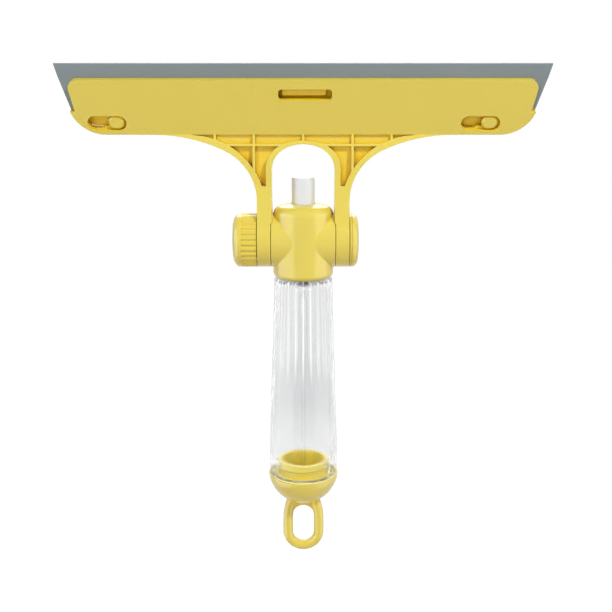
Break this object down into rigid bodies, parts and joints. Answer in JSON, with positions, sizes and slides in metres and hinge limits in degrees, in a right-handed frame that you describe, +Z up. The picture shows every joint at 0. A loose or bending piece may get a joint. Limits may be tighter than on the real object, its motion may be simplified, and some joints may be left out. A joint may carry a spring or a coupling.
{
  "type": "window cleaning squeegee",
  "caption": "Window squeegee with a wide rubber blade and a washing pad on a tilting head, a bottle for a handle, a mist pump, a locking knob and a hanging loop.",
  "frame": {"origin": "on the bottle's axis, at the middle of the straight grip band near its lower end", "axes": "+Z up the handle towards the blade, +X along the blade, -Y the ribbed front of the head, the washing pad and the nozzle on the +Y side"},
  "size_m": [0.25, 0.0388, 0.2703],
  "materials": {
    "yellow_plastic": "satin moulded",
    "white_plastic": "satin moulded",
    "pump_plastic": "natural",
    "clear_plastic": "clear, polished",
    "seal_plastic": "translucent",
    "washer_plastic": "matt",
    "blade_rubber": "smooth matt",
    "seal_rubber": "matt",
    "brass": "turned",
    "steel": "zinc plated",
    "foam": "open cell foam",
    "microfibre": "short pile"
  },
  "bodies": {
    "handle": {"swivel_body": "yellow_plastic", "threaded_insert": "brass", "retaining_washer": "steel", "pivot_screw": "steel", "pivot_end_cap": "yellow_plastic", "bottle": "clear_plastic", "pump_barrel": "pump_plastic", "pump_collar": "white_plastic", "pump_gasket": "seal_rubber", "pump_spring": "steel", "dip_tube": "clear_plastic"},
    "head": {"head_yoke": "yellow_plastic", "squeegee_blade": "blade_rubber"},
    "pad": {"pad_carrier": "yellow_plastic", "pad_foam": "foam", "microfibre_cover": "microfibre"},
    "washer": {"friction_washer": "washer_plastic"},
    "knob": {"locking_knob": "yellow_plastic", "knob_stud": "brass"},
    "pump_head": {"spray_button": "white_plastic", "nozzle_insert": "white_plastic", "pump_stem": "pump_plastic", "pump_piston": "pump_plastic"},
    "inlet_valve": {"inlet_ball": "steel"},
    "seal": {"bottle_seal": "seal_plastic"},
    "cap": {"base_cap": "yellow_plastic"}
  },
  "joints": [
    {"name": "head_tilt", "type": "hinge", "parent": "handle", "child": "head", "pos_m": [0, 0, 0.1245], "axis": [1, 0, 0], "range_deg": [-140, 140]},
    {"name": "pad_release", "type": "slide", "parent": "head", "child": "pad", "axis": [-1, 0, 0], "range_m": [0, 0.01]},
    {"name": "knob_travel", "type": "slide", "parent": "handle", "child": "washer", "axis": [-1, 0, 0], "range_m": [0, 0.0008]},
    {"name": "knob_turn", "type": "hinge", "parent": "washer", "child": "knob", "pos_m": [0, 0, 0.1245], "axis": [-1, 0, 0], "range_deg": [0, 360]},
    {"name": "spray_press", "type": "slide", "parent": "handle", "child": "pump_head", "axis": [0, 0, -1], "range_m": [0, 0.0045], "stiffness_N_per_m": 800, "springref_m": -0.003, "deforming": ["pump_spring"]},
    {"name": "inlet_ball_lift", "type": "slide", "parent": "handle", "child": "inlet_valve", "axis": [0, 0, 1], "range_m": [0, 0.0008]},
    {"name": "cap_travel", "type": "slide", "parent": "handle", "child": "seal", "axis": [0, 0, -1], "range_m": [0, 0.006]},
    {"name": "cap_turn", "type": "hinge", "parent": "seal", "child": "cap", "pos_m": [0, 0, 0], "axis": [0, 0, -1], "range_deg": [0, 720]}
  ],
  "couplings": [
    {"joint": "knob_travel", "follows": "knob_turn", "m_per_rad": 0.00012732},
    {"joint": "cap_travel", "follows": "cap_turn", "m_per_rad": 0.00047746}
  ]
}
